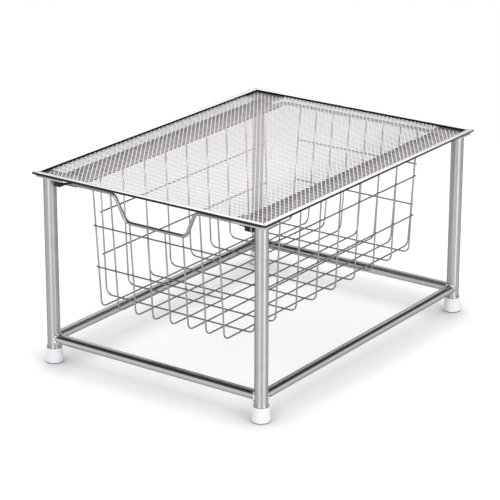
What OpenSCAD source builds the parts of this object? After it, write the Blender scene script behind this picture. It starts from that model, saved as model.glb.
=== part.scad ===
// Pull-out cabinet basket: a mesh-topped steel stand with a wire basket that slides out under its top.
// Millimetres, +Z up, origin on the floor under the middle of the stand.
// X runs along the front, -Y is the front where the basket comes out, +Y is the back.

/* [Stand] */
// Width of the top along the front
top_w = 340; // [260:1:420]
// Depth of the top from front to back
top_d = 464; // [380:1:560]
// Height of the top face above the floor
stand_h = 245; // [200:1:320]

/* [Top] */
// Width of the flat strip round the top
strip_w = 7.2; // [5:0.1:12]
// Thickness of that strip
strip_t = 3; // [2:0.1:5]
// Thickness of the expanded mesh sheet
mesh_t = 1; // [0.6:0.1:2]
// How far the mesh sheet reaches under the strip
mesh_lap = 4; // [2:0.5:5]
// Diamonds of the mesh counted across the width
mesh_across = 12; // [6:1:12]
// Diamonds of the mesh counted along the depth
mesh_along = 11; // [6:1:11]
// Width of one mesh strand
strand_w = 1.2; // [0.8:0.1:3]
// Thickness of the corner plates that carry legs and rails
plate_t = 2; // [1:0.1:3]
// Length of a corner plate along the front
plate_w = 48; // [44:1:60]
// Length of a corner plate along the side
plate_d = 28; // [24:1:50]
// Gap between a corner plate's edge and the outside of the top
plate_inset = 2; // [0.5:0.5:4]

/* [Legs] */
// Outer diameter of a leg tube
leg_d = 16; // [12:0.5:22]
// Wall of a leg tube
leg_wall = 1.2; // [0.8:0.1:2]
// Distance from a leg's axis to the outside of the top
leg_inset = 15; // [13:0.5:18]
// Height of a foot cap
foot_h = 18.8; // [14:0.1:24]
// Diameter of a foot cap where it stands
foot_base_d = 23.5; // [22:0.1:30]
// Diameter of a foot cap at its top edge
foot_top_d = 18.8; // [18.4:0.1:22]
// Solid floor of a foot cap below the tube
foot_floor = 4; // [2:0.5:8]
// Rounding of a foot cap's edges
foot_round = 0.8; // [0.2:0.1:1]
// Gap round the leg tube in its foot cap
foot_clear = 0.1; // [0.05:0.05:0.2]

/* [Lower bars] */
// Outer diameter of a lower bar
bar_d = 12; // [8:0.5:14]
// Wall of a lower bar
bar_wall = 1; // [0.8:0.1:2]
// Height of the lower bars' axes above the floor
bar_z = 31; // [28:0.5:60]

/* [Rails] */
// Sheet thickness of the slide rails
rail_t = 1.2; // [0.8:0.1:2]
// Clear height inside a slide rail
rail_gap = 7.6; // [7:0.1:10]
// Reach of the rail's upper flange from its web
rail_top_w = 25; // [20:0.5:25]
// Reach of the rail's lower flange from its web
rail_bottom_w = 27.7; // [26:0.1:27.8]
// Distance from the rail's back end to the back of the top
rail_back_gap = 10; // [6:1:20]
// Width of a front guide beside the leg
guide_w = 9.8; // [6:0.1:12]
// Gap between a front guide's head and the leg
guide_gap = 0.2; // [0.1:0.1:1]
// Length of a front guide's head in front of its rail
guide_head = 12.6; // [6:0.1:13]
// Length of a front guide's stem inside its rail
guide_stem = 11; // [6:0.5:20]
// Thickness of the guide's tongue under the side wire
tongue_t = 0.8; // [0.5:0.1:0.8]

/* [Basket] */
// Diameter of the thin wires
wire_d = 2; // [1.6:0.1:3]
// Diameter of the rim and handle wire
rim_d = 4.5; // [3.5:0.1:5]
// Distance from a side wall to the nearest wire that runs front to back
long_edge = 19.25; // [16:0.05:30]
// Number of wires that run front to back
long_count = 8; // [4:2:8]
// Distance from the front wall to the nearest wire that runs side to side
cross_front_edge = 33.3; // [20:0.1:40]
// Distance from the back wall to the nearest wire that runs side to side
cross_back_edge = 29.4; // [20:0.1:40]
// Number of wires that run side to side
cross_count = 9; // [5:2:9]
// Distance from a rail's outer side to the basket floor's edge
floor_side_gap = 36.4; // [35:0.1:46]
// Distance from the front of the top to the front wall at the floor
floor_front_gap = 31; // [31:0.1:46]
// Distance from the back of the top to the back wall at the floor
floor_back_gap = 25.5; // [23:0.1:38]
// Outward lean of the side walls
side_lean = 0.045; // [0:0.005:0.05]
// Outward lean of the front wall
front_lean = 0.08; // [0:0.005:0.09]
// Outward lean of the back wall
back_lean = 0.12; // [0:0.005:0.13]
// Depth of the basket from the rim's axis to the long wires' axes
basket_depth = 153.3; // [100:0.1:160]
// Gap between the rim wire and the rail's upper flange
rim_top_clear = 2; // [1:0.1:3]
// Bend radius of the thin wires at the basket floor
wire_bend = 9; // [6:0.5:12]
// Drop of the upper wall wire below the rim's axis
upper_drop = 46.4; // [40:0.1:60]
// Drop of the lower wall wire below the rim's axis
lower_drop = 99.9; // [80:0.1:120]
// How far the wall wires reach past the last upright
wall_over = 1.6; // [1:0.1:6]
// Bend radius of the rim wire
rim_bend = 11; // [8:0.5:14]
// How far the front rim wire reaches past the side wires' axes
rim_over = 9.3; // [5:0.1:10]
// Half width of the handle at the rim
handle_top_half = 59.8; // [54:0.1:64]
// Half width of the handle at its bottom
handle_bottom_half = 43.8; // [40:0.1:48]
// Drop of the handle below the rim's axis
handle_drop = 33.4; // [28:0.1:36]
// Gap between the closed basket's front rim wire and the rails
stop_gap = 0.3; // [0.3:0.1:1]
// Length of a rear glide
glide_l = 22; // [12:1:28]
// Plastic left inside the wire in a rear glide
glide_wall = 1.3; // [0.8:0.1:1.4]
// Running clearance of a rear glide in its rail
glide_clear = 0.3; // [0.3:0.05:0.5]
// Distance from the front end of a rear glide to the back wall at the floor
glide_front_gap = 60.5; // [60:0.1:68]
// Play of a rear glide on the side wire
glide_play = 0.05; // [0.02:0.01:0.1]

/* [Hidden] */
$fn = 48;
eps = 0.01;
swell = 0.1;
swell_l = 0.6;
touch = 0.02;
steel = "silver";
wire_colour = "gainsboro";
mesh_colour = "lightgray";
black = "#202022";
white = "whitesmoke";

// Heights from the top face down
strip_z = stand_h - strip_t;
mesh_z = strip_z - mesh_t;
plate_z = mesh_z - plate_t;
rail_top = plate_z;
rail_roof = rail_top - rail_t;
rail_floor = rail_roof - rail_gap;
rail_bottom = rail_floor - rail_t;

// Legs and the bars between them
leg_x = top_w / 2 - leg_inset;
leg_y = top_d / 2 - leg_inset;
leg_r = leg_d / 2;

// Basket, from the rim down
rim_r = rim_d / 2;
wire_r = wire_d / 2;
rim_z = rail_roof - rim_top_clear - rim_r;
long_z = rim_z - basket_depth;
cross_z = long_z + wire_d + touch;
upper_z = rim_z - upper_drop;
lower_z = rim_z - lower_drop;
handle_z = rim_z - handle_drop;
rail_x = leg_x - leg_r;
floor_half_w = rail_x - floor_side_gap;
basket_front_y = floor_front_gap - top_d / 2;
basket_back_y = top_d / 2 - floor_back_gap;
long_end_x = floor_half_w - long_edge;
long_pitch = 2 * long_end_x / (long_count - 1);
cross_first_y = basket_front_y + cross_front_edge;
cross_last_y = basket_back_y - cross_back_edge;
cross_pitch = (cross_last_y - cross_first_y) / (cross_count - 1);

// The rim lies on the tops of the front and back walls and outside the side walls
rim_front_y = front_wall_y(rim_z);
rim_back_y = back_wall_y(rim_z);
rim_side_x = side_wall_x(rim_z) + wire_r + rim_r + touch;

// Slide rails lie against the inner sides of the legs and stop the front rim wire
rail_front_y = rim_front_y + rim_r + stop_gap;
rail_back_y = top_d / 2 - rail_back_gap;
glide_y = basket_back_y - glide_front_gap;
glide_in_x = rim_side_x - rim_r - glide_wall;
glide_out_x = rail_x - rail_t - glide_clear;

// Where the leaning walls stand at a height
function side_wall_x(z) = floor_half_w + side_lean * (z - cross_z);
function front_wall_y(z) = basket_front_y - front_lean * (z - long_z);
function back_wall_y(z) = basket_back_y + back_lean * (z - long_z);

// ---------- wires ----------

function unit(v) = v / norm(v);
function turn_at(a, b, c) = 180 - acos(unit(a - b) * unit(c - b));
function tangent(r, turn) = r * tan(turn / 2);
function trim(path, i, r) =
    i == 0 || i == len(path) - 1 ? 0 : tangent(r, turn_at(path[i - 1], path[i], path[i + 1]));

// A straight rod from one point to another
module rod(from, to, d) {
    v = to - from;
    translate(from)
        rotate([0, acos(v.z / norm(v)), atan2(v.y, v.x)])
            cylinder(d = d, h = norm(v), $fn = 32);
}

// The bend of radius r at the corner b between a and c
module bend(a, b, c, r, d) {
    turn = turn_at(a, b, c);
    inward = unit(unit(a - b) + unit(c - b));
    centre = b + inward * r / cos(turn / 2);
    start = b + unit(a - b) * tangent(r, turn);
    ex = unit(start - centre);
    ey = unit(b - a);
    ez = cross(ex, ey);
    multmatrix([
        [ex.x, ey.x, ez.x, centre.x],
        [ex.y, ey.y, ez.y, centre.y],
        [ex.z, ey.z, ez.z, centre.z],
        [0, 0, 0, 1]
    ])
        rotate_extrude(angle = turn, $fn = 96)
            translate([r, 0])
                circle(d = d, $fn = 32);
}

// A wire along a path with every corner bent to radius r, a hair thicker where a bend starts or ends
module wire(path, r, d) {
    last = len(path) - 1;
    for (i = [0 : last - 1]) {
        way = unit(path[i + 1] - path[i]);
        rod(path[i] + way * trim(path, i, r), path[i + 1] - way * trim(path, i + 1, r), d);
    }
    for (i = [1 : last - 1]) {
        bend(path[i - 1], path[i], path[i + 1], r, d);
        for (side = [-1, 1]) {
            way = unit(path[i + side] - path[i]);
            joint = path[i] + way * trim(path, i, r);
            rod(joint - way * swell_l / 2, joint + way * swell_l / 2, d + swell);
        }
    }
}

// ---------- top ----------

// One mitred strip of length l, its outer edge on the X axis, its body towards +Y
module strip(l) {
    linear_extrude(strip_t)
        polygon([[-l / 2, 0], [l / 2, 0], [l / 2 - strip_w, strip_w], [-l / 2 + strip_w, strip_w]]);
}

module strip_front() {
    color(steel) translate([0, -top_d / 2, strip_z]) strip(top_w);
}

module strip_back() {
    color(steel) translate([0, top_d / 2, strip_z]) rotate([0, 0, 180]) strip(top_w);
}

module strip_left() {
    color(steel) translate([-top_w / 2, 0, strip_z]) rotate([0, 0, -90]) strip(top_d);
}

module strip_right() {
    color(steel) translate([top_w / 2, 0, strip_z]) rotate([0, 0, 90]) strip(top_d);
}

// Diamonds of the mesh: half pitches, the share of each that is open, and the open window
window_x = top_w / 2 - strip_w;
window_y = top_d / 2 - strip_w;
half_px = window_x / mesh_across;
half_py = window_y / mesh_along;
open_share = 1 - strand_w / 2 * norm([half_px, half_py]) / (half_px * half_py);

function held(v, limit) = max(-limit, min(limit, v));
function diamond(i, j) = [
    for (corner = [[1, 0], [0, 1], [-1, 0], [0, -1]])
        [
            held((i + corner.x * open_share) * half_px, window_x),
            held((j + corner.y * open_share) * half_py, window_y)
        ]
];
diamonds = [
    for (i = [-mesh_across : mesh_across], j = [-mesh_along : mesh_along])
        if ((i + j) % 2 == 0 && !(abs(i) == mesh_across && abs(j) == mesh_along)) diamond(i, j)
];

module top_mesh() {
    sheet_x = window_x + mesh_lap;
    sheet_y = window_y + mesh_lap;
    sheet = [[-sheet_x, -sheet_y], [sheet_x, -sheet_y], [sheet_x, sheet_y], [-sheet_x, sheet_y]];
    color(mesh_colour)
        translate([0, 0, mesh_z])
            linear_extrude(mesh_t)
                polygon(
                    points = concat(sheet, [for (d = diamonds) each d]),
                    paths = concat(
                        [[0, 1, 2, 3]],
                        [for (k = [1 : len(diamonds)]) [4 * k, 4 * k + 1, 4 * k + 2, 4 * k + 3]]
                    )
                );
}

// Flat plate under the mesh at one corner, side signs sx and sy
module plate(sx, sy) {
    x_out = top_w / 2 - plate_inset;
    y_out = top_d / 2 - plate_inset;
    color(steel)
        translate([sx > 0 ? x_out - plate_w : -x_out, sy > 0 ? y_out - plate_d : -y_out, plate_z])
            cube([plate_w, plate_d, plate_t]);
}

// ---------- legs, feet and lower bars ----------

module leg(sx, sy) {
    color(steel)
        translate([sx * leg_x, sy * leg_y, foot_floor])
            difference() {
                cylinder(d = leg_d, h = plate_z - foot_floor);
                translate([0, 0, -eps]) cylinder(d = leg_d - 2 * leg_wall, h = plate_z - foot_floor + 2 * eps);
            }
}

// Slightly tapered cap with rounded edges and a blind bore for the tube
module foot(sx, sy) {
    base_r = foot_base_d / 2;
    top_r = foot_top_d / 2;
    bore_r = leg_r + foot_clear;
    color(white)
        translate([sx * leg_x, sy * leg_y, 0])
            rotate_extrude($fn = 64)
                polygon(concat(
                    [[0, 0]],
                    [for (t = [0 : 15 : 90])
                        [base_r - foot_round + foot_round * sin(t), foot_round - foot_round * cos(t)]],
                    [for (t = [0 : 15 : 90])
                        [top_r - foot_round / 2 * (1 - cos(t)), foot_h - foot_round / 2 * (1 - sin(t))]],
                    [[bore_r, foot_h], [bore_r, foot_floor], [0, foot_floor]]
                ));
}

// A hollow bar between two points on leg axes, along X or along Y
module tube_between(from, to) {
    difference() {
        rod(from, to, bar_d);
        rod(from, to, bar_d - 2 * bar_wall);
    }
}

// The outsides of all four legs, to cope the bars against
module leg_outsides() {
    for (sx = [-1, 1], sy = [-1, 1])
        translate([sx * leg_x, sy * leg_y, bar_z - bar_d]) cylinder(d = leg_d, h = 2 * bar_d);
}

module side_bar(sx) {
    color(steel)
        difference() {
            tube_between([sx * leg_x, -leg_y, bar_z], [sx * leg_x, leg_y, bar_z]);
            leg_outsides();
        }
}

module cross_bar(sy) {
    color(steel)
        difference() {
            tube_between([-leg_x, sy * leg_y, bar_z], [leg_x, sy * leg_y, bar_z]);
            leg_outsides();
            for (sx = [-1, 1])
                rod([sx * leg_x, -leg_y, bar_z], [sx * leg_x, leg_y, bar_z], bar_d);
        }
}

// ---------- rails and guides, drawn for the right side and mirrored for the left ----------

module on_side(sx) {
    mirror([sx < 0 ? 1 : 0, 0, 0]) children();
}

module rail(sx) {
    color(steel)
        on_side(sx)
            translate([0, rail_back_y, 0])
                rotate([90, 0, 0])
                    linear_extrude(rail_back_y - rail_front_y)
                        polygon([
                            [rail_x, rail_bottom], [rail_x, rail_top],
                            [rail_x - rail_top_w, rail_top], [rail_x - rail_top_w, rail_roof],
                            [rail_x - rail_t, rail_roof], [rail_x - rail_t, rail_floor],
                            [rail_x - rail_bottom_w, rail_floor], [rail_x - rail_bottom_w, rail_bottom]
                        ]);
}

// Plastic guide: a head in front of the rail, a stem in its mouth and a tongue under the side wire
module guide(sx) {
    head_out = rail_x - guide_gap;
    stem_out = rail_x - rail_t;
    in_x = rail_x - guide_w;
    color(black)
        on_side(sx) {
            translate([in_x, rail_front_y - guide_head, rail_bottom])
                cube([head_out - in_x, guide_head, rail_top - rail_bottom]);
            translate([in_x, rail_front_y - eps, rail_floor])
                cube([stem_out - in_x, guide_stem + eps, rail_gap]);
            translate([rail_x - rail_bottom_w, rail_front_y, rail_floor])
                cube([rail_bottom_w - guide_w + eps, guide_stem, tongue_t]);
        }
}

// ---------- basket ----------

// Front rim wire with the handle bent down out of it along the leaning front wall
module rim_front_wire() {
    end_x = rim_side_x + rim_over;
    handle_y = front_wall_y(handle_z);
    color(wire_colour)
        wire([
            [-end_x, rim_front_y, rim_z],
            [-handle_top_half, rim_front_y, rim_z],
            [-handle_bottom_half, handle_y, handle_z],
            [handle_bottom_half, handle_y, handle_z],
            [handle_top_half, rim_front_y, rim_z],
            [end_x, rim_front_y, rim_z]
        ], rim_bend, rim_d);
}

// Rim wire round both sides and the back, its ends against the front rim wire
module rim_back_wire() {
    start_y = rim_front_y + rim_r + touch;
    color(wire_colour)
        wire([
            [-rim_side_x, start_y, rim_z],
            [-rim_side_x, rim_back_y, rim_z],
            [rim_side_x, rim_back_y, rim_z],
            [rim_side_x, start_y, rim_z]
        ], rim_bend, rim_d);
}

// Front-to-back wire number i, its ends under the rim wire or under the handle
module long_wire(i) {
    x = (i - 1) * long_pitch - long_end_x;
    under = rim_r + touch;
    front_top = (abs(x) < handle_bottom_half ? handle_z : rim_z) - under;
    back_top = rim_z - under;
    color(wire_colour)
        wire([
            [x, front_wall_y(front_top), front_top],
            [x, basket_front_y, long_z],
            [x, basket_back_y, long_z],
            [x, back_wall_y(back_top), back_top]
        ], wire_bend, wire_d);
}

// Side-to-side wire number i, lying on the long wires and ending inside the rim wire
module cross_wire(i) {
    y = cross_first_y + (i - 1) * cross_pitch;
    top_z = rim_z + wire_r;
    color(wire_colour)
        wire([
            [-side_wall_x(top_z), y, top_z],
            [-floor_half_w, y, cross_z],
            [floor_half_w, y, cross_z],
            [side_wall_x(top_z), y, top_z]
        ], wire_bend, wire_d);
}

// Straight wire across the outside of the front or back wall at height z
module wall_wire_x(sy, z) {
    half = long_end_x + wall_over;
    outside = wire_d + touch;
    y = sy < 0 ? front_wall_y(z) - outside : back_wall_y(z) + outside;
    color(wire_colour) rod([-half, y, z], [half, y, z], wire_d);
}

// Straight wire along the outside of a side wall at height z
module wall_wire_y(sx, z) {
    x = sx * (side_wall_x(z) + wire_d + touch);
    color(wire_colour) rod([x, cross_first_y - wall_over, z], [x, cross_last_y + wall_over, z], wire_d);
}

// Plastic glide clipped on the side rim wire, running in the rail
module glide(sx) {
    low = rail_floor + glide_clear;
    high = rail_roof - glide_clear;
    color(black)
        on_side(sx)
            difference() {
                translate([glide_in_x, glide_y, low]) cube([glide_out_x - glide_in_x, glide_l, high - low]);
                translate([rim_side_x, glide_y - 1, rim_z])
                    rotate([-90, 0, 0]) cylinder(r = rim_r + glide_play, h = glide_l + 2);
            }
}

// ---------- the assembly ----------

strip_front();
strip_back();
strip_left();
strip_right();
top_mesh();
plate(-1, -1);  // plate_front_left
plate(1, -1);  // plate_front_right
plate(-1, 1);  // plate_back_left
plate(1, 1);  // plate_back_right
leg(-1, -1);  // leg_front_left
leg(1, -1);  // leg_front_right
leg(-1, 1);  // leg_back_left
leg(1, 1);  // leg_back_right
foot(-1, -1);  // foot_front_left
foot(1, -1);  // foot_front_right
foot(-1, 1);  // foot_back_left
foot(1, 1);  // foot_back_right
cross_bar(-1);  // bar_front
cross_bar(1);  // bar_back
side_bar(-1);  // bar_left
side_bar(1);  // bar_right
rail(-1);  // rail_left
rail(1);  // rail_right
guide(-1);  // guide_left
guide(1);  // guide_right
rim_front_wire();
rim_back_wire();
for (i = [1 : long_count])
    long_wire(i);
for (i = [1 : cross_count])
    cross_wire(i);
wall_wire_x(-1, upper_z);  // wall_wire_front_upper
wall_wire_x(-1, lower_z);  // wall_wire_front_lower
wall_wire_x(1, upper_z);  // wall_wire_back_upper
wall_wire_x(1, lower_z);  // wall_wire_back_lower
wall_wire_y(-1, upper_z);  // wall_wire_left_upper
wall_wire_y(-1, lower_z);  // wall_wire_left_lower
wall_wire_y(1, upper_z);  // wall_wire_right_upper
wall_wire_y(1, lower_z);  // wall_wire_right_lower
glide(-1);  // glide_left
glide(1);  // glide_right
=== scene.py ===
"""Pull-out cabinet basket: a steel stand with an expanded-mesh top and a wire basket on slide rails.

The object's lengths are written in millimetres and turned into metres by mm().
The studio's lamps and floor are written in metres.
"""

import math
import random

import bpy
from mathutils import Matrix, Vector


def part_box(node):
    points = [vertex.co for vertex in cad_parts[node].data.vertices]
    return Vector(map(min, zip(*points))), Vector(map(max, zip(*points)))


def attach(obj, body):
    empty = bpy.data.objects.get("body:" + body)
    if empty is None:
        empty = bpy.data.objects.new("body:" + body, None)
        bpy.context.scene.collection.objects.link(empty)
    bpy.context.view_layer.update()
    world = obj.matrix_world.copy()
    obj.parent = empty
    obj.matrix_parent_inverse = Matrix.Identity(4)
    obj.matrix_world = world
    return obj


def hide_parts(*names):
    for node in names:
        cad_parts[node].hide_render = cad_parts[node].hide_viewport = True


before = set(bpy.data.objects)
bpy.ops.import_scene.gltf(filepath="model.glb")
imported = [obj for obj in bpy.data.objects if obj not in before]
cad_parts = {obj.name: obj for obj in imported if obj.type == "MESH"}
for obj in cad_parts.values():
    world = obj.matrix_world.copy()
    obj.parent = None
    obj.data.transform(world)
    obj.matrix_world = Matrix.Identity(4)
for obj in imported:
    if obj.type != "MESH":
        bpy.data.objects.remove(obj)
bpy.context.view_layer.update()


def mm(*lengths):
    """Millimetres as metres: one length, or a point of three."""
    return lengths[0] / 1000 if len(lengths) == 1 else Vector(lengths) / 1000


# ---------- measures of the real object, in millimetres ----------

TOP_W, TOP_D, TOP_Z = 340, 464, 245
STRIP_W, STRIP_T, STRIP_EDGE = 7.2, 3, 0.7
MESH_TOP, MESH_T, MESH_LAP = 242, 0.6, 4
DIAMONDS_ACROSS, DIAMONDS_ALONG = 56, 53
STRAND_W = 1.05
LEG_X, LEG_Y, LEG_R, LEG_WALL = 155, 217, 8, 1.2
FOOT_H, FOOT_FLOOR, FOOT_BORE_R = 18.8, 4, 8.1
BAR_Z, BAR_R = 31, 6
# Weld beads: radius of the bead, its height over the bar and over the leg, steps round the bar;
# ripples in one bead, and their size as a share of its section
BEAD_R, BEAD_LIFT, BEAD_OUT, BEAD_STEPS = 1.35, 0.35, 0.25, 56
RIPPLES, RIPPLE_SIZE = 14, 0.2
PLATE_Z, PLATE_T, PLATE_ROUND = 239, 2, 5
# Rails: the flanges' reach is measured from the outer side at RAIL_X
RAIL_X, RAIL_TOP, RAIL_T = 147, 239, 1.2
RAIL_IN_TOP, RAIL_IN_BOTTOM, RAIL_H, RAIL_BEND = 25, 27.7, 10, 1.6
RAIL_FRONT, RAIL_BACK = -210.71, 222
# Guides: inner and outer side measured from RAIL_X, length of head and stem, bevel of the head;
# step from head to stem, and the tongue's thickness, lap under the head and rounding
GUIDE_IN, GUIDE_OUT, GUIDE_HEAD, GUIDE_STEM, GUIDE_ROUND = 11.6, 2, 12.6, 11, 2.4
STEM_INSET, TONGUE_T, TONGUE_LAP, TONGUE_ROUND = 1.3, 0.8, 2, 2.5
# Rail end tabs, the rail's cut edge made light as a painted highlight: width, depth, how much lower than
# the rail, and how far the middle is in the head
TAB_W, TAB_D, TAB_SHORT, TAB_SUNK = 1.1, 1, 1.6, 0.4
GLIDE_ROUND, GLIDE_PLAY = 2, 0.05
# Basket: heights and places are those of the wires' axes
WIRE_R, RIM_R, TOUCH = 1, 2.25, 0.02
LONG_Z, RIM_Z = 80.25, 233.55
CROSS_Z = LONG_Z + 2 * WIRE_R + TOUCH
FLOOR_HALF_W, FLOOR_FRONT, FLOOR_BACK = 110.6, -201, 206.5
SIDE_LEAN, FRONT_LEAN, BACK_LEAN = 0.045, 0.08, 0.12
LONG_PITCH, LONG_COUNT = 26.1, 8
CROSS_PITCH, CROSS_COUNT, CROSS_FIRST = 43.1, 9, -167.7
UPPER_Z, LOWER_Z, HANDLE_Z = 187.15, 133.65, 200.15
WIRE_BEND, RIM_BEND, WALL_OVER, RIM_OVER = 9, 11, 1.6, 9.3
HANDLE_TOP_HALF, HANDLE_BOTTOM_HALF = 59.8, 43.8
SPOT_R, SPOT_FLAT = 1.12, 0.75
NEAR = 0.1  # how far off a place may be when corners, edges or faces are picked by it


def side_wall_x(z):
    return FLOOR_HALF_W + SIDE_LEAN * (z - CROSS_Z)


def front_wall_y(z):
    return FLOOR_FRONT - FRONT_LEAN * (z - LONG_Z)


def back_wall_y(z):
    return FLOOR_BACK + BACK_LEAN * (z - LONG_Z)


RIM_FRONT_Y, RIM_BACK_Y = front_wall_y(RIM_Z), back_wall_y(RIM_Z)
RIM_SIDE_X = side_wall_x(RIM_Z) + WIRE_R + RIM_R + TOUCH


# ---------- colours and materials ----------


def colour(code):
    """An sRGB hex value as a linear colour with alpha."""
    parts = [int(code[i : i + 2], 16) / 255 for i in (1, 3, 5)]
    return [p / 12.92 if p <= 0.04045 else ((p + 0.055) / 1.055) ** 2.4 for p in parts] + [1]


def add(tree, kind, settings=None, inputs=None):
    """Adds a node, sets its properties, and fills each input with a value or another node's output."""
    made = tree.nodes.new(kind)
    for key, value in (settings or {}).items():
        setattr(made, key, value)
    for key, value in (inputs or {}).items():
        if isinstance(value, bpy.types.NodeSocket):
            tree.links.new(value, made.inputs[key])
        else:
            made.inputs[key].default_value = value
    return made


def new_material(name):
    material = bpy.data.materials.new(name)
    material.use_nodes = True
    material.node_tree.nodes.clear()
    return material, material.node_tree


def close_material(tree, shader):
    add(tree, "ShaderNodeOutputMaterial", inputs={"Surface": shader.outputs[0]})


STEEL_CLOUD, PLASTIC_CLOUD = 14, 9  # width of the clouds in a tone, in millimetres
LESS_DULL, MORE_DULL = 0.03, 0.05  # how far the roughness of lacquer varies
SHADED_BELOW, LIT_ABOVE = 0.3, 0.9  # how far a face looks up, below which painted shade darkens it fully and above which it has none


def coated_steel(
    name, light, dark, roughness, peel_mm, peel_depth,
    painted_side_shade=None, graze="#9C9C9C", drawn_out=0,
):
    """Steel under a metallic lacquer: cloudy tone from the flakes, fine orange peel, duller patches.

    peel_mm and peel_depth are the width and height of the orange peel, in millimetres.
    The side shade is painted shade: the tone of the sides and the underside, which are darker than the
    faces that look up.
    graze is the tint seen at a flat angle; drawn_out stretches the highlights along an upright piece.
    """
    material, tree = new_material(name)
    place = add(tree, "ShaderNodeTexCoord").outputs["Object"]
    clouds = add(
        tree, "ShaderNodeTexNoise",
        inputs={"Vector": place, "Scale": 1 / mm(STEEL_CLOUD), "Detail": 3.0, "Roughness": 0.6},
    )
    tone = add(
        tree, "ShaderNodeMix", {"data_type": "RGBA"},
        {"Factor": clouds.outputs["Fac"], "A": colour(light), "B": colour(dark)},
    ).outputs["Result"]
    # Painted shade: faces that look up less are blended towards the dark side tone
    if painted_side_shade:
        facing = add(tree, "ShaderNodeTexCoord").outputs["Normal"]
        upward = add(tree, "ShaderNodeSeparateXYZ", inputs={"Vector": facing}).outputs["Z"]
        lit_share = add(
            tree, "ShaderNodeMapRange",
            inputs={"Value": upward, "From Min": SHADED_BELOW, "From Max": LIT_ABOVE},
        )
        tone = add(
            tree, "ShaderNodeMix", {"data_type": "RGBA"},
            {"Factor": lit_share.outputs[0], "A": colour(painted_side_shade), "B": tone},
        ).outputs["Result"]
    peel = add(
        tree, "ShaderNodeTexNoise",
        inputs={"Vector": place, "Scale": 1 / mm(peel_mm), "Detail": 2.0},
    )
    dull = add(
        tree, "ShaderNodeMapRange",
        inputs={
            "Value": clouds.outputs["Fac"],
            "To Min": roughness - LESS_DULL, "To Max": roughness + MORE_DULL,
        },
    )
    bump = add(
        tree, "ShaderNodeBump",
        inputs={"Height": peel.outputs["Fac"], "Distance": mm(peel_depth), "Strength": 0.5},
    )
    shader = add(
        tree, "ShaderNodeBsdfPrincipled",
        inputs={
            "Base Color": tone, "Metallic": 1.0, "Roughness": dull.outputs[0],
            "Normal": bump.outputs[0], "Specular Tint": colour(graze),
            "Anisotropic": drawn_out, "Anisotropic Rotation": 0.25 if drawn_out else 0,
        },
    )
    close_material(tree, shader)
    return material


def moulded_plastic(name, shade, worn, roughness, ior, grain_mm, grain_depth, gloss=0.5):
    """Injection-moulded plastic: even colour with a faint cloud, and the fine grain of the mould."""
    material, tree = new_material(name)
    place = add(tree, "ShaderNodeTexCoord").outputs["Object"]
    cloud = add(
        tree, "ShaderNodeTexNoise",
        inputs={"Vector": place, "Scale": 1 / mm(PLASTIC_CLOUD), "Detail": 2.0},
    )
    tone = add(
        tree, "ShaderNodeMix", {"data_type": "RGBA"},
        {"Factor": cloud.outputs["Fac"], "A": colour(shade), "B": colour(worn)},
    )
    grain = add(
        tree, "ShaderNodeTexNoise",
        inputs={"Vector": place, "Scale": 1 / mm(grain_mm), "Detail": 2.0},
    )
    bump = add(
        tree, "ShaderNodeBump",
        inputs={"Height": grain.outputs["Fac"], "Distance": mm(grain_depth), "Strength": 0.4},
    )
    shader = add(
        tree, "ShaderNodeBsdfPrincipled",
        inputs={
            "Base Color": tone.outputs["Result"], "Roughness": roughness, "IOR": ior,
            "Normal": bump.outputs[0], "Specular IOR Level": gloss,
        },
    )
    close_material(tree, shader)
    return material


# Ground tube under silver lacquer: grinding round the tube draws each lamp out to a long soft band
leg_tube_steel = coated_steel(
    "silver_lacquered_ground_tube", "#C2C1C1", "#BAB9B9", 0.4, 0.9, 0.006,
    graze="#6E6D6D", drawn_out=0.9,
)
# Drawn tube and wire under the same lacquer: smooth and satin
lacquered_tube = coated_steel("silver_lacquered_steel_tube", "#BCBBBB", "#B3B2B2", 0.18, 0.9, 0.006)
lacquered_wire = coated_steel("silver_lacquered_steel_wire", "#A3A1A0", "#959392", 0.14, 0.8, 0.006)
# Slit and stretched sheet under the same lacquer: strands light on top, with painted shade on their cut
# sides
lacquered_mesh = coated_steel(
    "silver_lacquered_expanded_steel", "#DFDADB", "#D2CDCE", 0.34, 0.6, 0.006,
    painted_side_shade="#BCB6B7", graze="#F2F2F2",
)
# Flat bar under the same lacquer: a bright face, and painted shade on its edges
lacquered_strip = coated_steel(
    "silver_lacquered_flat_steel", "#EBEAE9", "#E0DFDE", 0.26, 1.2, 0.006,
    painted_side_shade="#33312F", graze="#F2F2F2",
)
# Rolled sheet of the rails: bare dark zinc under a thin coat, so dark and dull also at a flat angle
rail_sheet = coated_steel("dull_zinc_sheet_steel", "#343332", "#282726", 0.5, 1.0, 0.01, graze="#2C2B2A")
# Weld metal under lacquer: rippled and brighter than the tube
weld_metal = coated_steel("lacquered_weld_metal", "#F7F6F5", "#D8D7D6", 0.1, 1.2, 0.12)
# Injection-moulded polyethylene: white with a faint cold cast and a soft gloss
white_cap = moulded_plastic("white_polyethylene", "#E9ECF1", "#E1E5EB", 0.32, 1.51, 0.5, 0.01)
# Injection-moulded nylon: black, semi-matt
black_nylon = moulded_plastic("black_nylon", "#0B0B0C", "#141415", 0.42, 1.53, 0.4, 0.02, gloss=0.25)


# ---------- modelling steps ----------


def edit():
    bpy.ops.object.mode_set(mode="EDIT")


def stop_edit():
    bpy.ops.object.mode_set(mode="OBJECT")


def begin(name):
    """Names the primitive just added and puts its place into its mesh."""
    piece = bpy.context.object
    piece.name = piece.data.name = name
    bpy.ops.object.transform_apply(location=True, rotation=True, scale=True)
    return piece


def only(piece):
    bpy.ops.object.select_all(action="DESELECT")
    piece.select_set(True)
    bpy.context.view_layer.objects.active = piece


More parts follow.
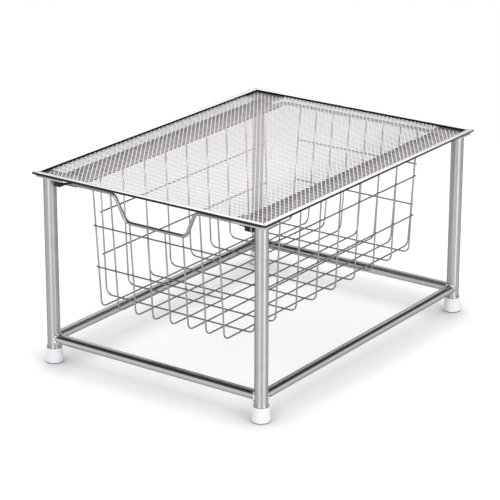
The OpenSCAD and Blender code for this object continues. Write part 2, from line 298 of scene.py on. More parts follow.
def pick_faces(piece, wanted):
    """Goes to edit mode with the faces selected that wanted(middle, normal) accepts."""
    stop_edit()
    bpy.context.tool_settings.mesh_select_mode = (False, False, True)
    mesh = piece.data
    mesh.vertices.foreach_set("select", [False] * len(mesh.vertices))
    mesh.edges.foreach_set("select", [False] * len(mesh.edges))
    for face in mesh.polygons:
        face.select = wanted(face.center * 1000, face.normal)
    edit()


def pick_corners(piece, wanted):
    """Goes to edit mode with the vertices selected that wanted(place in millimetres) accepts."""
    stop_edit()
    bpy.context.tool_settings.mesh_select_mode = (True, False, False)
    mesh = piece.data
    mesh.polygons.foreach_set("select", [False] * len(mesh.polygons))
    mesh.edges.foreach_set("select", [False] * len(mesh.edges))
    for corner in mesh.vertices:
        corner.select = wanted(corner.co * 1000)
    edit()


def pick_edges(piece, wanted):
    """Goes to edit mode with the edges selected that wanted(one end, other end) accepts."""
    stop_edit()
    bpy.context.tool_settings.mesh_select_mode = (False, True, False)
    mesh = piece.data
    mesh.polygons.foreach_set("select", [False] * len(mesh.polygons))
    mesh.vertices.foreach_set("select", [False] * len(mesh.vertices))
    for side in mesh.edges:
        a, b = (mesh.vertices[i].co * 1000 for i in side.vertices)
        side.select = wanted(a, b)
    edit()


def set_outside():
    """Merges doubles and turns every face outwards."""
    bpy.ops.mesh.select_all(action="SELECT")
    bpy.ops.mesh.remove_doubles(threshold=mm(0.001))
    bpy.ops.mesh.normals_make_consistent(inside=False)
    stop_edit()


def use(piece, kind, **settings):
    """Adds a modifier with its settings and applies it."""
    only(piece)
    modifier = piece.modifiers.new(kind.lower(), kind)
    for key, value in settings.items():
        setattr(modifier, key, value)
    bpy.ops.object.modifier_apply(modifier=modifier.name)


def soften(piece, width, segments=2, angle=30):
    """Breaks the sharp edges of a piece as tumbling or a mould does."""
    use(
        piece, "BEVEL", width=mm(width), segments=segments,
        limit_method="ANGLE", angle_limit=math.radians(angle), use_clamp_overlap=True,
    )


def copy_of(piece, name):
    twin = piece.copy()
    twin.data = piece.data.copy()
    twin.name = twin.data.name = name
    bpy.context.scene.collection.objects.link(twin)
    return twin


def put(piece, place=(0, 0, 0), turn=0):
    """Turns a piece about the vertical by degrees, moves it by millimetres, and puts both into its mesh."""
    only(piece)
    piece.rotation_euler = (0, 0, math.radians(turn))
    piece.location = mm(*place)
    bpy.ops.object.transform_apply(location=True, rotation=True, scale=True)
    return piece


def flip(piece, axis):
    """Mirrors a piece across the middle plane of one axis, and turns its faces outwards again."""
    only(piece)
    piece.scale[axis] = -1
    bpy.ops.object.transform_apply(location=True, rotation=True, scale=True)
    edit()
    set_outside()
    return piece


def give(piece, material, body, stands_for=(), smooth=35):
    """Shades and coats a finished piece, ties it to its body, and hides the nodes it stands for."""
    only(piece)
    bpy.ops.object.shade_smooth_by_angle(angle=math.radians(smooth))
    piece.data.materials.clear()
    piece.data.materials.append(material)
    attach(piece, body)
    if stands_for:
        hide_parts(*stands_for)
    return piece


def turned(name, x, y, rings, sides, hollow=False):
    """A round piece on a vertical axis: a circle extruded and scaled from ring to ring (radius, height)."""
    radius, height = rings[0]
    bpy.ops.mesh.primitive_circle_add(
        vertices=sides, radius=mm(radius), fill_type="NOTHING" if hollow else "NGON",
        location=mm(x, y, height),
    )
    piece = begin(name)
    edit()
    bpy.ops.mesh.select_all(action="SELECT")
    for next_radius, next_height in rings[1:]:
        bpy.ops.mesh.extrude_region_move(
            TRANSFORM_OT_translate={"value": mm(0, 0, next_height - height)}
        )
        scale = next_radius / radius
        bpy.ops.transform.resize(value=(scale, scale, 1), center_override=mm(x, y, next_height))
        radius, height = next_radius, next_height
    if hollow:
        bpy.ops.mesh.select_mode(type="EDGE")
        bpy.ops.mesh.select_all(action="DESELECT")
        bpy.ops.mesh.select_non_manifold()
        bpy.ops.mesh.bridge_edge_loops()
    set_outside()
    return piece


def bent_wire(name, path, bend, radius, sides=16, bend_steps=6):
    """A wire along a path: its round end extruded along each straight and spun round each bend."""
    points = [Vector(p) for p in path]
    heading = (points[1] - points[0]).normalized()
    bpy.ops.mesh.primitive_circle_add(
        vertices=sides, radius=mm(radius), fill_type="NGON", location=mm(*points[0]),
        rotation=heading.to_track_quat("Z", "Y").to_euler(),
    )
    piece = begin(name)
    edit()
    bpy.ops.mesh.select_all(action="SELECT")
    at = points[0]
    for corner, after in zip(points[1:], points[2:] + [None]):
        way = (corner - at).normalized()
        if after is None:
            bpy.ops.mesh.extrude_region_move(TRANSFORM_OT_translate={"value": mm(*(corner - at))})
            break
        onward = (after - corner).normalized()
        turn = way.angle(onward)
        reach = bend * math.tan(turn / 2)
        start = corner - way * reach
        bpy.ops.mesh.extrude_region_move(TRANSFORM_OT_translate={"value": mm(*(start - at))})
        inward = (onward - way).normalized()
        centre = corner + inward * bend / math.cos(turn / 2)
        bpy.ops.mesh.spin(
            steps=bend_steps, angle=-turn, center=mm(*centre), axis=way.cross(onward).normalized()
        )
        at = corner + onward * reach
    set_outside()
    soften(piece, radius * 0.25, 2, 50)
    return piece


# ---------- top: mesh, strips and corner plates ----------


def make_top_mesh():
    """Expanded mesh: a square grid turned to diamonds, trimmed to the sheet and thickened to strands."""
    sheet_x = TOP_W / 2 - STRIP_W + MESH_LAP
    sheet_y = TOP_D / 2 - STRIP_W + MESH_LAP
    half_x, half_y = sheet_x / DIAMONDS_ACROSS, sheet_y / DIAMONDS_ALONG
    cells = DIAMONDS_ACROSS + DIAMONDS_ALONG + 1
    bpy.ops.mesh.primitive_grid_add(
        x_subdivisions=cells, y_subdivisions=cells, size=cells * math.sqrt(2)
    )
    piece = begin("top_expanded_mesh")
    edit()
    bpy.ops.mesh.select_all(action="SELECT")
    bpy.ops.transform.rotate(value=math.radians(45), orient_axis="Z", center_override=(0, 0, 0))
    bpy.ops.transform.resize(value=(mm(half_x), mm(half_y), 1), center_override=(0, 0, 0))
    for edge, out in (
        ((sheet_x, 0, 0), (1, 0, 0)), ((-sheet_x, 0, 0), (-1, 0, 0)),
        ((0, sheet_y, 0), (0, 1, 0)), ((0, -sheet_y, 0), (0, -1, 0)),
    ):
        bpy.ops.mesh.select_all(action="SELECT")
        bpy.ops.mesh.bisect(
            plane_co=mm(*edge), plane_no=out, clear_outer=True, threshold=mm(0.005)
        )
    bpy.ops.mesh.select_mode(type="FACE")
    bpy.ops.mesh.select_all(action="SELECT")
    bpy.ops.mesh.inset(thickness=mm(STRAND_W / 2), use_individual=True)
    bpy.ops.mesh.delete(type="FACE")
    stop_edit()
    put(piece, (0, 0, MESH_TOP))
    use(piece, "SOLIDIFY", thickness=mm(MESH_T), offset=-1)
    return give(piece, lacquered_mesh, "stand", ["top_mesh"], 20)


def make_strip(name, length):
    """One flat bar lying along X with its ends mitred and its edges broken."""
    bpy.ops.mesh.primitive_cube_add(
        size=1, location=mm(0, STRIP_W / 2, STRIP_T / 2), scale=mm(length, STRIP_W, STRIP_T)
    )
    piece = begin(name)
    for side in (-1, 1):
        pick_corners(piece, lambda p: p.x * side > 0 and p.y > STRIP_W / 2)
        bpy.ops.transform.translate(value=mm(-side * STRIP_W, 0, 0))
    stop_edit()
    soften(piece, STRIP_EDGE, 3)
    return piece


def make_top_strips():
    low = TOP_Z - STRIP_T
    front = make_strip("strip_bar_front", TOP_W)
    back = copy_of(front, "strip_bar_back")
    left = make_strip("strip_bar_left", TOP_D)
    right = copy_of(left, "strip_bar_right")
    put(front, (0, -TOP_D / 2, low))
    put(back, (0, TOP_D / 2, low), 180)
    put(left, (-TOP_W / 2, 0, low), -90)
    put(right, (TOP_W / 2, 0, low), 90)
    for piece, node in (
        (front, "strip_front"), (back, "strip_back"), (left, "strip_left"), (right, "strip_right"),
    ):
        give(piece, lacquered_strip, "stand", [node])


def make_corner_plates():
    """Flat plates at the four corners, with rounded corners and broken edges."""
    low, high = (v * 1000 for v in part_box("plate_front_left"))
    bpy.ops.mesh.primitive_cube_add(size=1, location=mm(*((low + high) / 2)), scale=mm(*(high - low)))
    plate = begin("corner_plate_front_left")
    pick_edges(plate, lambda a, b: abs(a.z - b.z) > PLATE_T / 2)
    bpy.ops.mesh.bevel(offset=mm(PLATE_ROUND), segments=4)
    stop_edit()
    soften(plate, 0.2, 2)
    mirrored_at_corners(plate, "corner_plate", "plate", lacquered_tube)


def mirrored_at_corners(piece, name, node, material):
    """Copies a piece of the front left corner to the other three and finishes all four."""
    right = flip(copy_of(piece, name + "_front_right"), 0)
    back = flip(copy_of(piece, name + "_back_left"), 1)
    far = flip(copy_of(right, name + "_back_right"), 1)
    for made, corner in (
        (piece, "front_left"), (right, "front_right"), (back, "back_left"), (far, "back_right"),
    ):
        give(made, material, "stand", [f"{node}_{corner}"])


# ---------- legs, feet, bars and their welds ----------


def make_legs():
    """Round tubes, flared a little just above their caps."""
    rim = FOOT_H + 0.8
    inner = LEG_R - LEG_WALL
    rings = [(LEG_R, FOOT_FLOOR), (LEG_R, FOOT_H - 1), (LEG_R, rim + 0.3), (LEG_R + 1.1, rim)]
    rings += [(LEG_R + 1.2, rim + 0.15), (LEG_R + 1.1, rim + 0.45), (LEG_R + 0.7, rim + 1.3)]
    rings += [(LEG_R + 0.35, rim + 2.4), (LEG_R + 0.12, rim + 3.8), (LEG_R, rim + 5.6)]
    rings += [(LEG_R, PLATE_Z), (inner, PLATE_Z), (inner, FOOT_FLOOR)]
    leg = turned("leg_tube_front_left", -LEG_X, -LEG_Y, rings, 64, hollow=True)
    mirrored_at_corners(leg, "leg_tube", "leg", leg_tube_steel)


def make_feet():
    """Plastic caps: a tapered cup with rounded edges, standing on a smaller pad."""
    rings = [(8.7, 0), (8.8, 0.9), (10.4, 1.0), (10.85, 1.25), (11.05, 1.8), (11, 3.2), (10.8, 5.5)]
    rings += [(10.1, 16.8), (9.95, 17.9), (9.6, 18.6), (9.1, FOOT_H)]
    rings += [(FOOT_BORE_R, FOOT_H), (FOOT_BORE_R, FOOT_FLOOR)]
    foot = turned("foot_cap_front_left", -LEG_X, -LEG_Y, rings, 64)
    mirrored_at_corners(foot, "foot_cap", "foot", white_cap)


def saddle_point(around, lift, out):
    """Where a bar meets a leg at an angle around the bar, in millimetres from where the axes cross."""
    across = (BAR_R + lift) * math.sin(around)
    along = math.sqrt(max((LEG_R + out) ** 2 - across**2, 0.0))
    return along, across, (BAR_R + lift) * math.cos(around)


def make_bar_welds():
    """A rippled bead round each end of a lower bar: a ring pushed onto the joint's saddle line."""
    bpy.ops.mesh.primitive_torus_add(
        major_radius=mm(BAR_R + BEAD_LIFT), minor_radius=mm(BEAD_R),
        major_segments=BEAD_STEPS, minor_segments=10, rotation=(0, math.radians(90), 0),
    )
    model = begin("weld_bead_model")
    draws = random.Random(11)
    ripples = [
        RIPPLE_SIZE * math.sin(RIPPLES * i / BEAD_STEPS * 2 * math.pi)
        + draws.uniform(-RIPPLE_SIZE, RIPPLE_SIZE)
        for i in range(BEAD_STEPS)
    ]
    for corner in model.data.vertices:
        p = corner.co * 1000
        around = math.atan2(p.y, p.z) % (2 * math.pi)
        ripple = ripples[int(around / (2 * math.pi) * BEAD_STEPS) % BEAD_STEPS]
        along, across, up = saddle_point(around, BEAD_LIFT, BEAD_OUT)
        off = Vector((p.x, p.y - across, p.z - up)) * (1 + ripple)
        corner.co = mm(along + off.x, across + off.y, up + off.z)
    for where, turn in (("front", 0), ("side", 90)):
        left = copy_of(model, f"weld_bead_front_left_{where}")
        put(left, (-LEG_X, -LEG_Y, BAR_Z), turn)
        right = flip(copy_of(left, f"weld_bead_front_right_{where}"), 0)
        back = flip(copy_of(left, f"weld_bead_back_left_{where}"), 1)
        far = flip(copy_of(right, f"weld_bead_back_right_{where}"), 1)
        for made in (left, right, back, far):
            give(made, weld_metal, "stand", (), 60)
    bpy.data.objects.remove(model)


# ---------- rails, guides and glides ----------


def make_rails():
    """Sheet-metal channels: a web with two flanges, bent with a small radius, open towards the basket."""
    length = RAIL_BACK - RAIL_FRONT
    bpy.ops.mesh.primitive_plane_add(
        size=1, location=mm(RAIL_X, (RAIL_FRONT + RAIL_BACK) / 2, RAIL_TOP - RAIL_H / 2),
        rotation=(0, math.radians(90), 0),
    )
    bpy.context.object.scale = (mm(RAIL_H), mm(length), 1)
    rail = begin("slide_rail_right")
    for top, reach in ((True, RAIL_IN_TOP), (False, RAIL_IN_BOTTOM)):
        height = RAIL_TOP if top else RAIL_TOP - RAIL_H
        pick_edges(
            rail,
            lambda a, b: max(abs(a.z - height), abs(b.z - height)) < NEAR
            and min(a.x, b.x) > RAIL_X - NEAR,
        )
        bpy.ops.mesh.extrude_region_move(TRANSFORM_OT_translate={"value": mm(-reach, 0, 0)})
    pick_edges(rail, lambda a, b: min(a.x, b.x) > RAIL_X - NEAR and abs(a.y - b.y) > NEAR)
    bpy.ops.mesh.bevel(offset=mm(RAIL_BEND), segments=4)
    bpy.ops.mesh.select_all(action="SELECT")
    bpy.ops.mesh.normals_make_consistent(inside=False)
    stop_edit()
    # The faces look outwards, because the sheet's thickness is added behind them
    if rail.data.polygons[0].normal.x < 0:
        edit()
        bpy.ops.mesh.select_all(action="SELECT")
        bpy.ops.mesh.flip_normals()
        stop_edit()
    use(rail, "SOLIDIFY", thickness=mm(RAIL_T), offset=-1, use_even_offset=True)
    soften(rail, 0.15, 1, 60)
    left = flip(copy_of(rail, "slide_rail_left"), 0)
    give(rail, rail_sheet, "stand", ["rail_right"])
    give(left, rail_sheet, "stand", ["rail_left"])


def make_guides():
    """Black front guides: a head with a rounded lower front, a stem in the rail and a thin tongue.

    Beside each head a bright tab of the rail's sheet shows: its cut edge, coated in the tube's light
    lacquer instead of the rail's dark zinc as a painted highlight.
    """
    in_x, out_x = RAIL_X - GUIDE_IN, RAIL_X - GUIDE_OUT
    low, high = RAIL_TOP - RAIL_H, RAIL_TOP
    front, back = RAIL_FRONT - GUIDE_HEAD, RAIL_FRONT
    bpy.ops.mesh.primitive_cube_add(
        size=1, location=mm((in_x + out_x) / 2, (front + back) / 2, (low + high) / 2),
        scale=mm(out_x - in_x, back - front, high - low),
    )
    guide = begin("guide_block_right")
    pick_edges(guide, lambda a, b: max(a.z, b.z) < low + NEAR and max(a.y, b.y) < front + NEAR)
    bpy.ops.mesh.bevel(offset=mm(GUIDE_ROUND), segments=4)
    pick_faces(guide, lambda p, n: n.y > 0.9)
    bpy.ops.mesh.inset(thickness=mm(STEM_INSET))
    bpy.ops.mesh.extrude_region_move(TRANSFORM_OT_translate={"value": mm(0, GUIDE_STEM, 0)})
    stop_edit()
    soften(guide, 0.35, 2)
    tongue_in, tongue_out = RAIL_X - RAIL_IN_BOTTOM, in_x + TONGUE_LAP
    bpy.ops.mesh.primitive_cube_add(
        size=1,
        location=mm(
            (tongue_in + tongue_out) / 2, RAIL_FRONT + GUIDE_STEM / 2, low + RAIL_T + TONGUE_T / 2
        ),
        scale=mm(tongue_out - tongue_in, GUIDE_STEM, TONGUE_T),
    )
    tongue = begin("tongue")
    pick_edges(
        tongue, lambda a, b: abs(a.z - b.z) > NEAR and max(a.x, b.x) < tongue_in + NEAR
    )
    bpy.ops.mesh.bevel(offset=mm(TONGUE_ROUND), segments=4)
    stop_edit()
    soften(tongue, 0.15, 1)
    only(guide)
    tongue.select_set(True)
    bpy.ops.object.join()
    left = flip(copy_of(guide, "guide_block_left"), 0)
    give(guide, black_nylon, "stand", ["guide_right"])
    give(left, black_nylon, "stand", ["guide_left"])
    # Painted highlight: light tabs stand for the bright cut edge of the dark rail
    bpy.ops.mesh.primitive_cube_add(
        size=1, location=mm(out_x - TAB_SUNK, front + TAB_SUNK, (low + high) / 2),
        scale=mm(TAB_W, TAB_D, RAIL_H - TAB_SHORT),
    )
    tab = begin("rail_edge_highlight_tab_right")
    soften(tab, 0.25, 2)
    other = flip(copy_of(tab, "rail_edge_highlight_tab_left"), 0)
    for made in (tab, other):
        give(made, lacquered_tube, "stand")


def make_glides():
    """Black rear glides: a block with rounded edges and a bore for the side wire."""
    low, high = (v * 1000 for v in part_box("glide_right"))
    middle, size = (low + high) / 2, high - low
    bpy.ops.mesh.primitive_cube_add(size=1, location=mm(*middle), scale=mm(*size))
    glide = begin("rear_glide_right")
    pick_edges(glide, lambda a, b: abs(a.z - b.z) > 1)
    bpy.ops.mesh.bevel(offset=mm(GLIDE_ROUND), segments=4)
    stop_edit()
    soften(glide, 0.4, 2)
    bpy.ops.mesh.primitive_cylinder_add(
        vertices=32, radius=mm(RIM_R + GLIDE_PLAY), depth=mm(size.y + 4),
        location=mm(RIM_SIDE_X, middle.y, RIM_Z), rotation=(math.radians(90), 0, 0),
    )
    bore = begin("bore")
    use(glide, "BOOLEAN", object=bore, operation="DIFFERENCE", solver="EXACT")
    bpy.data.objects.remove(bore)
    left = flip(copy_of(glide, "rear_glide_left"), 0)
    give(glide, black_nylon, "basket", ["glide_right"])
    give(left, black_nylon, "basket", ["glide_left"])


# ---------- basket ----------


def wire_piece(piece, *nodes):
    give(piece, lacquered_wire, "basket", nodes, 40)


def make_rim():
    """The front rim wire with the handle bent out of it, and the wire round the sides and the back."""
    half = [
        (HANDLE_BOTTOM_HALF, front_wall_y(HANDLE_Z), HANDLE_Z),
        (HANDLE_TOP_HALF, RIM_FRONT_Y, RIM_Z),
        (RIM_SIDE_X + RIM_OVER, RIM_FRONT_Y, RIM_Z),
    ]
    other = [(-x, y, z) for x, y, z in reversed(half)]
    wire_piece(bent_wire("rim_wire_with_handle", other + half, RIM_BEND, RIM_R, 24, 8), "rim_front_wire")
    start_y = RIM_FRONT_Y + RIM_R + TOUCH
    loop = [(-RIM_SIDE_X, start_y, RIM_Z), (-RIM_SIDE_X, RIM_BACK_Y, RIM_Z)]
    loop += [(RIM_SIDE_X, RIM_BACK_Y, RIM_Z), (RIM_SIDE_X, start_y, RIM_Z)]
    wire_piece(bent_wire("rim_wire_sides_and_back", loop, RIM_BEND, RIM_R, 24, 8), "rim_back_wire")


def long_wire_x(i):
    return (i - (LONG_COUNT + 1) / 2) * LONG_PITCH


def cross_wire_y(i):
    return CROSS_FIRST + (i - 1) * CROSS_PITCH


def make_long_wires():
    """U-shaped wires, front wall to back wall; the middle ones are short and end under the handle."""
    under = RIM_R + TOUCH
    models = {}
    for i in range(1, LONG_COUNT + 1):
        x = long_wire_x(i)
        top = HANDLE_Z if abs(x) < HANDLE_BOTTOM_HALF else RIM_Z
        name = f"basket_long_wire_{i}"
        if top in models:
            first_x, model = models[top]
            piece = put(copy_of(model, name), (x - first_x, 0, 0))
        else:
            path = [(x, front_wall_y(top - under), top - under), (x, FLOOR_FRONT, LONG_Z)]
            path += [(x, FLOOR_BACK, LONG_Z), (x, back_wall_y(RIM_Z - under), RIM_Z - under)]
            piece = bent_wire(name, path, WIRE_BEND, WIRE_R)
            models[top] = (x, piece)
        wire_piece(piece, f"long_wire_{i}")


def make_cross_wires():
    """U-shaped wires from side to side, lying on the long ones."""
    top = RIM_Z + WIRE_R
    y = cross_wire_y(1)
    half = [(FLOOR_HALF_W, y, CROSS_Z), (side_wall_x(top), y, top)]
    path = [(-x, y, z) for x, y, z in reversed(half)] + half
    model = bent_wire("basket_cross_wire_1", path, WIRE_BEND, WIRE_R)
    wire_piece(model, "cross_wire_1")
    for i in range(2, CROSS_COUNT + 1):
        piece = put(copy_of(model, f"basket_cross_wire_{i}"), (0, cross_wire_y(i) - y, 0))
        wire_piece(piece, f"cross_wire_{i}")


def make_wall_wires():
    """Straight wires welded on the outside of the four walls."""
    half_x = -long_wire_x(1) + WALL_OVER
    first_y, last_y = cross_wire_y(1) - WALL_OVER, cross_wire_y(CROSS_COUNT) + WALL_OVER
    outside = 2 * WIRE_R + TOUCH
    for level, z in (("upper", UPPER_Z), ("lower", LOWER_Z)):
        front_y, back_y = front_wall_y(z) - outside, back_wall_y(z) + outside
        side_x = side_wall_x(z) + outside
        for wall, start, end in (
            ("front", (-half_x, front_y, z), (half_x, front_y, z)),
            ("back", (-half_x, back_y, z), (half_x, back_y, z)),
            ("left", (-side_x, first_y, z), (-side_x, last_y, z)),
            ("right", (side_x, first_y, z), (side_x, last_y, z)),
        ):
            piece = bent_wire(f"basket_wall_wire_{wall}_{level}", [start, end], 0, WIRE_R)
            wire_piece(piece, f"wall_wire_{wall}_{level}")


def make_spot_welds():
    """Small squeezed-out beads where two wires cross, one model copied to every crossing."""
    places = []
    longs = [long_wire_x(i) for i in range(1, LONG_COUNT + 1)]
    crosses = [cross_wire_y(i) for i in range(1, CROSS_COUNT + 1)]
    places += [(x, y, (LONG_Z + CROSS_Z) / 2) for x in longs for y in crosses]
    for z in (UPPER_Z, LOWER_Z):
        places += [(x, front_wall_y(z) - WIRE_R, z) for x in longs]
        places += [(x, back_wall_y(z) + WIRE_R, z) for x in longs]
        places += [(side * (side_wall_x(z) + WIRE_R), y, z) for y in crosses for side in (-1, 1)]
    places += [(side * (side_wall_x(RIM_Z) + WIRE_R), y, RIM_Z) for y in crosses for side in (-1, 1)]
    for x in longs:
        lifted = abs(x) < HANDLE_BOTTOM_HALF
        z = (HANDLE_Z if lifted else RIM_Z) - RIM_R
        places += [(x, front_wall_y(z), z), (x, back_wall_y(RIM_Z - RIM_R), RIM_Z - RIM_R)]
    bpy.ops.mesh.primitive_uv_sphere_add(
        segments=8, ring_count=5, radius=mm(SPOT_R), location=mm(*places[0])
    )
    nugget = begin("basket_spot_welds")
    edit()
    bpy.ops.mesh.select_all(action="SELECT")
    bpy.ops.transform.resize(value=(1, 1, SPOT_FLAT), center_override=mm(*places[0]))
    stop_edit()
    beads = [nugget]
    for i, place in enumerate(places[1:]):
        bead = copy_of(nugget, f"spot_weld_{i}")
        bead.data.transform(Matrix.Translation(mm(*(Vector(place) - Vector(places[0])))))
        beads.append(bead)
    only(nugget)
    for bead in beads:
        bead.select_set(True)
    bpy.ops.object.join()
    give(nugget, lacquered_wire, "basket", (), 60)


bpy.ops.object.select_all(action="DESELECT")
make_top_mesh()
make_top_strips()
make_corner_plates()
make_legs()
make_feet()
make_bar_welds()
make_rails()
make_guides()
make_glides()
make_rim()
make_long_wires()
make_cross_wires()
make_wall_wires()
make_spot_welds()
for node in ("bar_front", "bar_back", "bar_left", "bar_right"):
    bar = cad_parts[node]
    bar.data.materials.clear()
    bar.data.materials.append(lacquered_tube)


# ---------- studio ----------

CAMERA_AT = (1481.26, -2116.18, 1038.5)
CAMERA_YAW, CAMERA_PITCH, CAMERA_ROLL = 35.26, 18.39, 0.15
FOCAL_PX, FRAME_PX, MIDDLE_Y_PX = 2191.3, 500, 200
SENSOR_MM = 36

# The room: its light on surfaces, and the dark ceiling that only reflections see. It is fixed in
# the room: it fades in between two heights of a direction, hangs lower to both sides, along
# SIDEWAYS, and is a little lighter straight overhead.
ROOM_LIGHT = 0.78
CEILING_FROM, CEILING_TO, CEILING_TONE = 0.44, 0.56, 0.06
OVERHEAD_FROM, OVERHEAD_TONE = 0.85, 0.25
SIDEWAYS, SIDE_HANG = (0.816, 0.577, 0), 0.3

# The floor, in metres: its radius, and where it fades into white; then how far in millimetres and how
# strongly painted shade, from ambient occlusion, darkens it near the object, its own tone, and a glow that
# lifts the rest to white
FLOOR_R, FADE_FROM, FADE_TO = 4, 0.5, 1.1
SHADE_REACH, SHADE_STRENGTH = 48, 0.95
PAPER_TONE, PAPER_GLOW = 0.85, 0.27
BOUNCE_TONE = (0.8, 0.8, 0.8, 1)


def make_camera():
    """The photograph's camera: its place and direction, with the lens raised a little."""
    yaw, pitch, roll = (math.radians(a) for a in (CAMERA_YAW, CAMERA_PITCH, CAMERA_ROLL))
    ahead = Vector(
        (-math.sin(yaw) * math.cos(pitch), math.cos(yaw) * math.cos(pitch), -math.sin(pitch))
    )
    level = ahead.cross(Vector((0, 0, 1))).normalized()
    upward = level.cross(ahead)
    right = level * math.cos(roll) + upward * math.sin(roll)
    up = upward * math.cos(roll) - level * math.sin(roll)
    bpy.ops.object.camera_add()
    camera = bpy.context.object
    camera.name = "photograph_camera"
    turned_to = Matrix((right, up, -ahead)).transposed().to_4x4()
    camera.matrix_world = Matrix.Translation(mm(*CAMERA_AT)) @ turned_to
    camera.data.sensor_width = SENSOR_MM
    camera.data.lens = FOCAL_PX * SENSOR_MM / FRAME_PX
    camera.data.shift_y = (MIDDLE_Y_PX - FRAME_PX / 2) / FRAME_PX
    camera.data.clip_start, camera.data.clip_end = 0.1, 50
    bpy.context.scene.camera = camera


def softbox(name, azimuth, elevation, distance, width, height, radiance):
    """A rectangular lamp aimed at the middle of the object; a radiance of 1 would look white.

    The angles are in degrees, the azimuth from the front towards the right; the rest is in metres.
    """
    a, e = math.radians(azimuth), math.radians(elevation)
    back = Vector((math.sin(a) * math.cos(e), -math.cos(a) * math.cos(e), math.sin(e)))
    bpy.ops.object.light_add(type="AREA")
    lamp = bpy.context.object
    lamp.name = name
    lamp.data.shape = "RECTANGLE"
    lamp.data.size, lamp.data.size_y = width, height
    lamp.data.energy = radiance * math.pi * width * height
    lamp.location = mm(0, 0, TOP_Z / 2) + back * distance
    lamp.visible_camera = False
    lamp.rotation_mode = "QUATERNION"
    lamp.rotation_quaternion = back.to_track_quat("Z", "Y")


def seen_plainly(tree):
    """1 for what is seen straight, mirrored or through glass, 0 for light that falls on surfaces."""
    path = add(tree, "ShaderNodeLightPath")
    either = add(
        tree, "ShaderNodeMath", {"operation": "MAXIMUM"},
        {0: path.outputs["Is Camera Ray"], 1: path.outputs["Is Glossy Ray"]},
    )
    return add(
        tree, "ShaderNodeMath", {"operation": "MAXIMUM"},
        {0: either.outputs[0], 1: path.outputs["Is Transmission Ray"]},
    ).outputs[0]


def make_world():
    """White to the camera and dimmer as light; only reflections see the dark ceiling."""
    world = bpy.data.worlds.new("studio")
    bpy.context.scene.world = world
    world.use_nodes = True
    tree = world.node_tree
    tree.nodes.clear()
    fill = add(
        tree, "ShaderNodeBackground", inputs={"Color": (1, 1, 1, 1), "Strength": ROOM_LIGHT}
    )
    way = add(tree, "ShaderNodeTexCoord").outputs["Generated"]
    height = add(tree, "ShaderNodeSeparateXYZ", inputs={"Vector": way}).outputs["Z"]
    aside = add(tree, "ShaderNodeVectorMath", {"operation": "DOT_PRODUCT"}, {0: way, 1: SIDEWAYS})
    side = add(tree, "ShaderNodeMath", {"operation": "POWER"}, {0: aside.outputs["Value"], 1: 2.0})
    lowered = add(
        tree, "ShaderNodeMath", {"operation": "MULTIPLY_ADD"},
        {0: side.outputs[0], 1: SIDE_HANG, 2: height},
    )
    ceiling = add(
        tree, "ShaderNodeMapRange", {"interpolation_type": "SMOOTHSTEP"},
        {
            "Value": lowered.outputs[0], "From Min": CEILING_FROM, "From Max": CEILING_TO,
            "To Min": 1.0, "To Max": CEILING_TONE,
        },
    )
    overhead = add(
        tree, "ShaderNodeMapRange",
        inputs={
            "Value": height, "From Min": OVERHEAD_FROM, "From Max": 1.0, "To Max": OVERHEAD_TONE,
        },
    )
    above = add(
        tree, "ShaderNodeMath", {"operation": "MAXIMUM"},
        {0: ceiling.outputs[0], 1: overhead.outputs[0]},
    )
    straight = add(tree, "ShaderNodeLightPath").outputs["Is Camera Ray"]
    shown = add(
        tree, "ShaderNodeMath", {"operation": "MAXIMUM"}, {0: above.outputs[0], 1: straight}
    )
    seen = add(
        tree, "ShaderNodeBackground",
        inputs={"Color": (1, 1, 1, 1), "Strength": shown.outputs[0]},
    )
    both = add(
        tree, "ShaderNodeMixShader",
        inputs={0: seen_plainly(tree), 1: fill.outputs[0], 2: seen.outputs[0]},
    )
    add(tree, "ShaderNodeOutputWorld", inputs={"Surface": both.outputs[0]})


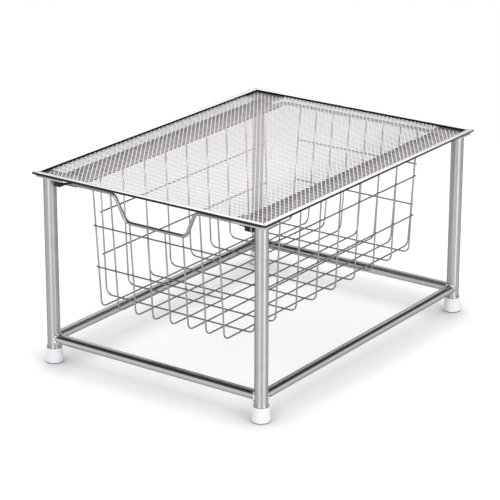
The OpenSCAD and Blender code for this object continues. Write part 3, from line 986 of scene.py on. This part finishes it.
def make_floor():
    """White paper floor that keeps the object's shadow, with shade painted in near the object, and fades
    into the white background.
    """
    bpy.ops.mesh.primitive_circle_add(vertices=96, radius=FLOOR_R, fill_type="NGON")
    floor = begin("studio_floor")
    material, tree = new_material("matt_white_paper")
    place = add(tree, "ShaderNodeTexCoord").outputs["Object"]
    away = add(tree, "ShaderNodeVectorMath", {"operation": "LENGTH"}, {0: place})
    fade = add(
        tree, "ShaderNodeMapRange", {"interpolation_type": "SMOOTHSTEP"},
        {"Value": away.outputs["Value"], "From Min": FADE_FROM, "From Max": FADE_TO},
    )
    # Painted shade: ambient occlusion darkens the paper's tone and its glow near the object
    painted_contact_shade = add(
        tree, "ShaderNodeAmbientOcclusion", {"samples": 16}, {"Distance": mm(SHADE_REACH)}
    )
    shade = add(
        tree, "ShaderNodeMath", {"operation": "POWER"},
        {0: painted_contact_shade.outputs["AO"], 1: SHADE_STRENGTH},
    )
    grey, lift = (
        add(tree, "ShaderNodeMath", {"operation": "MULTIPLY"}, {0: shade.outputs[0], 1: share})
        for share in (PAPER_TONE, PAPER_GLOW)
    )
    paper = add(tree, "ShaderNodeBsdfDiffuse", inputs={"Color": grey.outputs[0]})
    glow = add(
        tree, "ShaderNodeEmission", inputs={"Color": (1, 1, 1, 1), "Strength": lift.outputs[0]}
    )
    near = add(tree, "ShaderNodeAddShader", inputs={0: paper.outputs[0], 1: glow.outputs[0]})
    white = add(tree, "ShaderNodeEmission", inputs={"Color": (1, 1, 1, 1), "Strength": 1.0})
    seen = add(
        tree, "ShaderNodeMixShader",
        inputs={0: fade.outputs[0], 1: near.outputs[0], 2: white.outputs[0]},
    )
    lit = add(tree, "ShaderNodeBsdfDiffuse", inputs={"Color": BOUNCE_TONE})
    both = add(
        tree, "ShaderNodeMixShader",
        inputs={0: seen_plainly(tree), 1: lit.outputs[0], 2: seen.outputs[0]},
    )
    close_material(tree, both)
    floor.data.materials.append(material)


make_camera()
make_world()
make_floor()
softbox("lamp_front", 9.7, 18, 1.92, 0.75, 1.15, 3)
softbox("lamp_side", 77, 18, 1.76, 0.66, 1.05, 4.4)
softbox("lamp_back_top", 215, 40, 2.4, 2.6, 1.6, 1.0)
bpy.context.scene.view_settings.view_transform = "Standard"
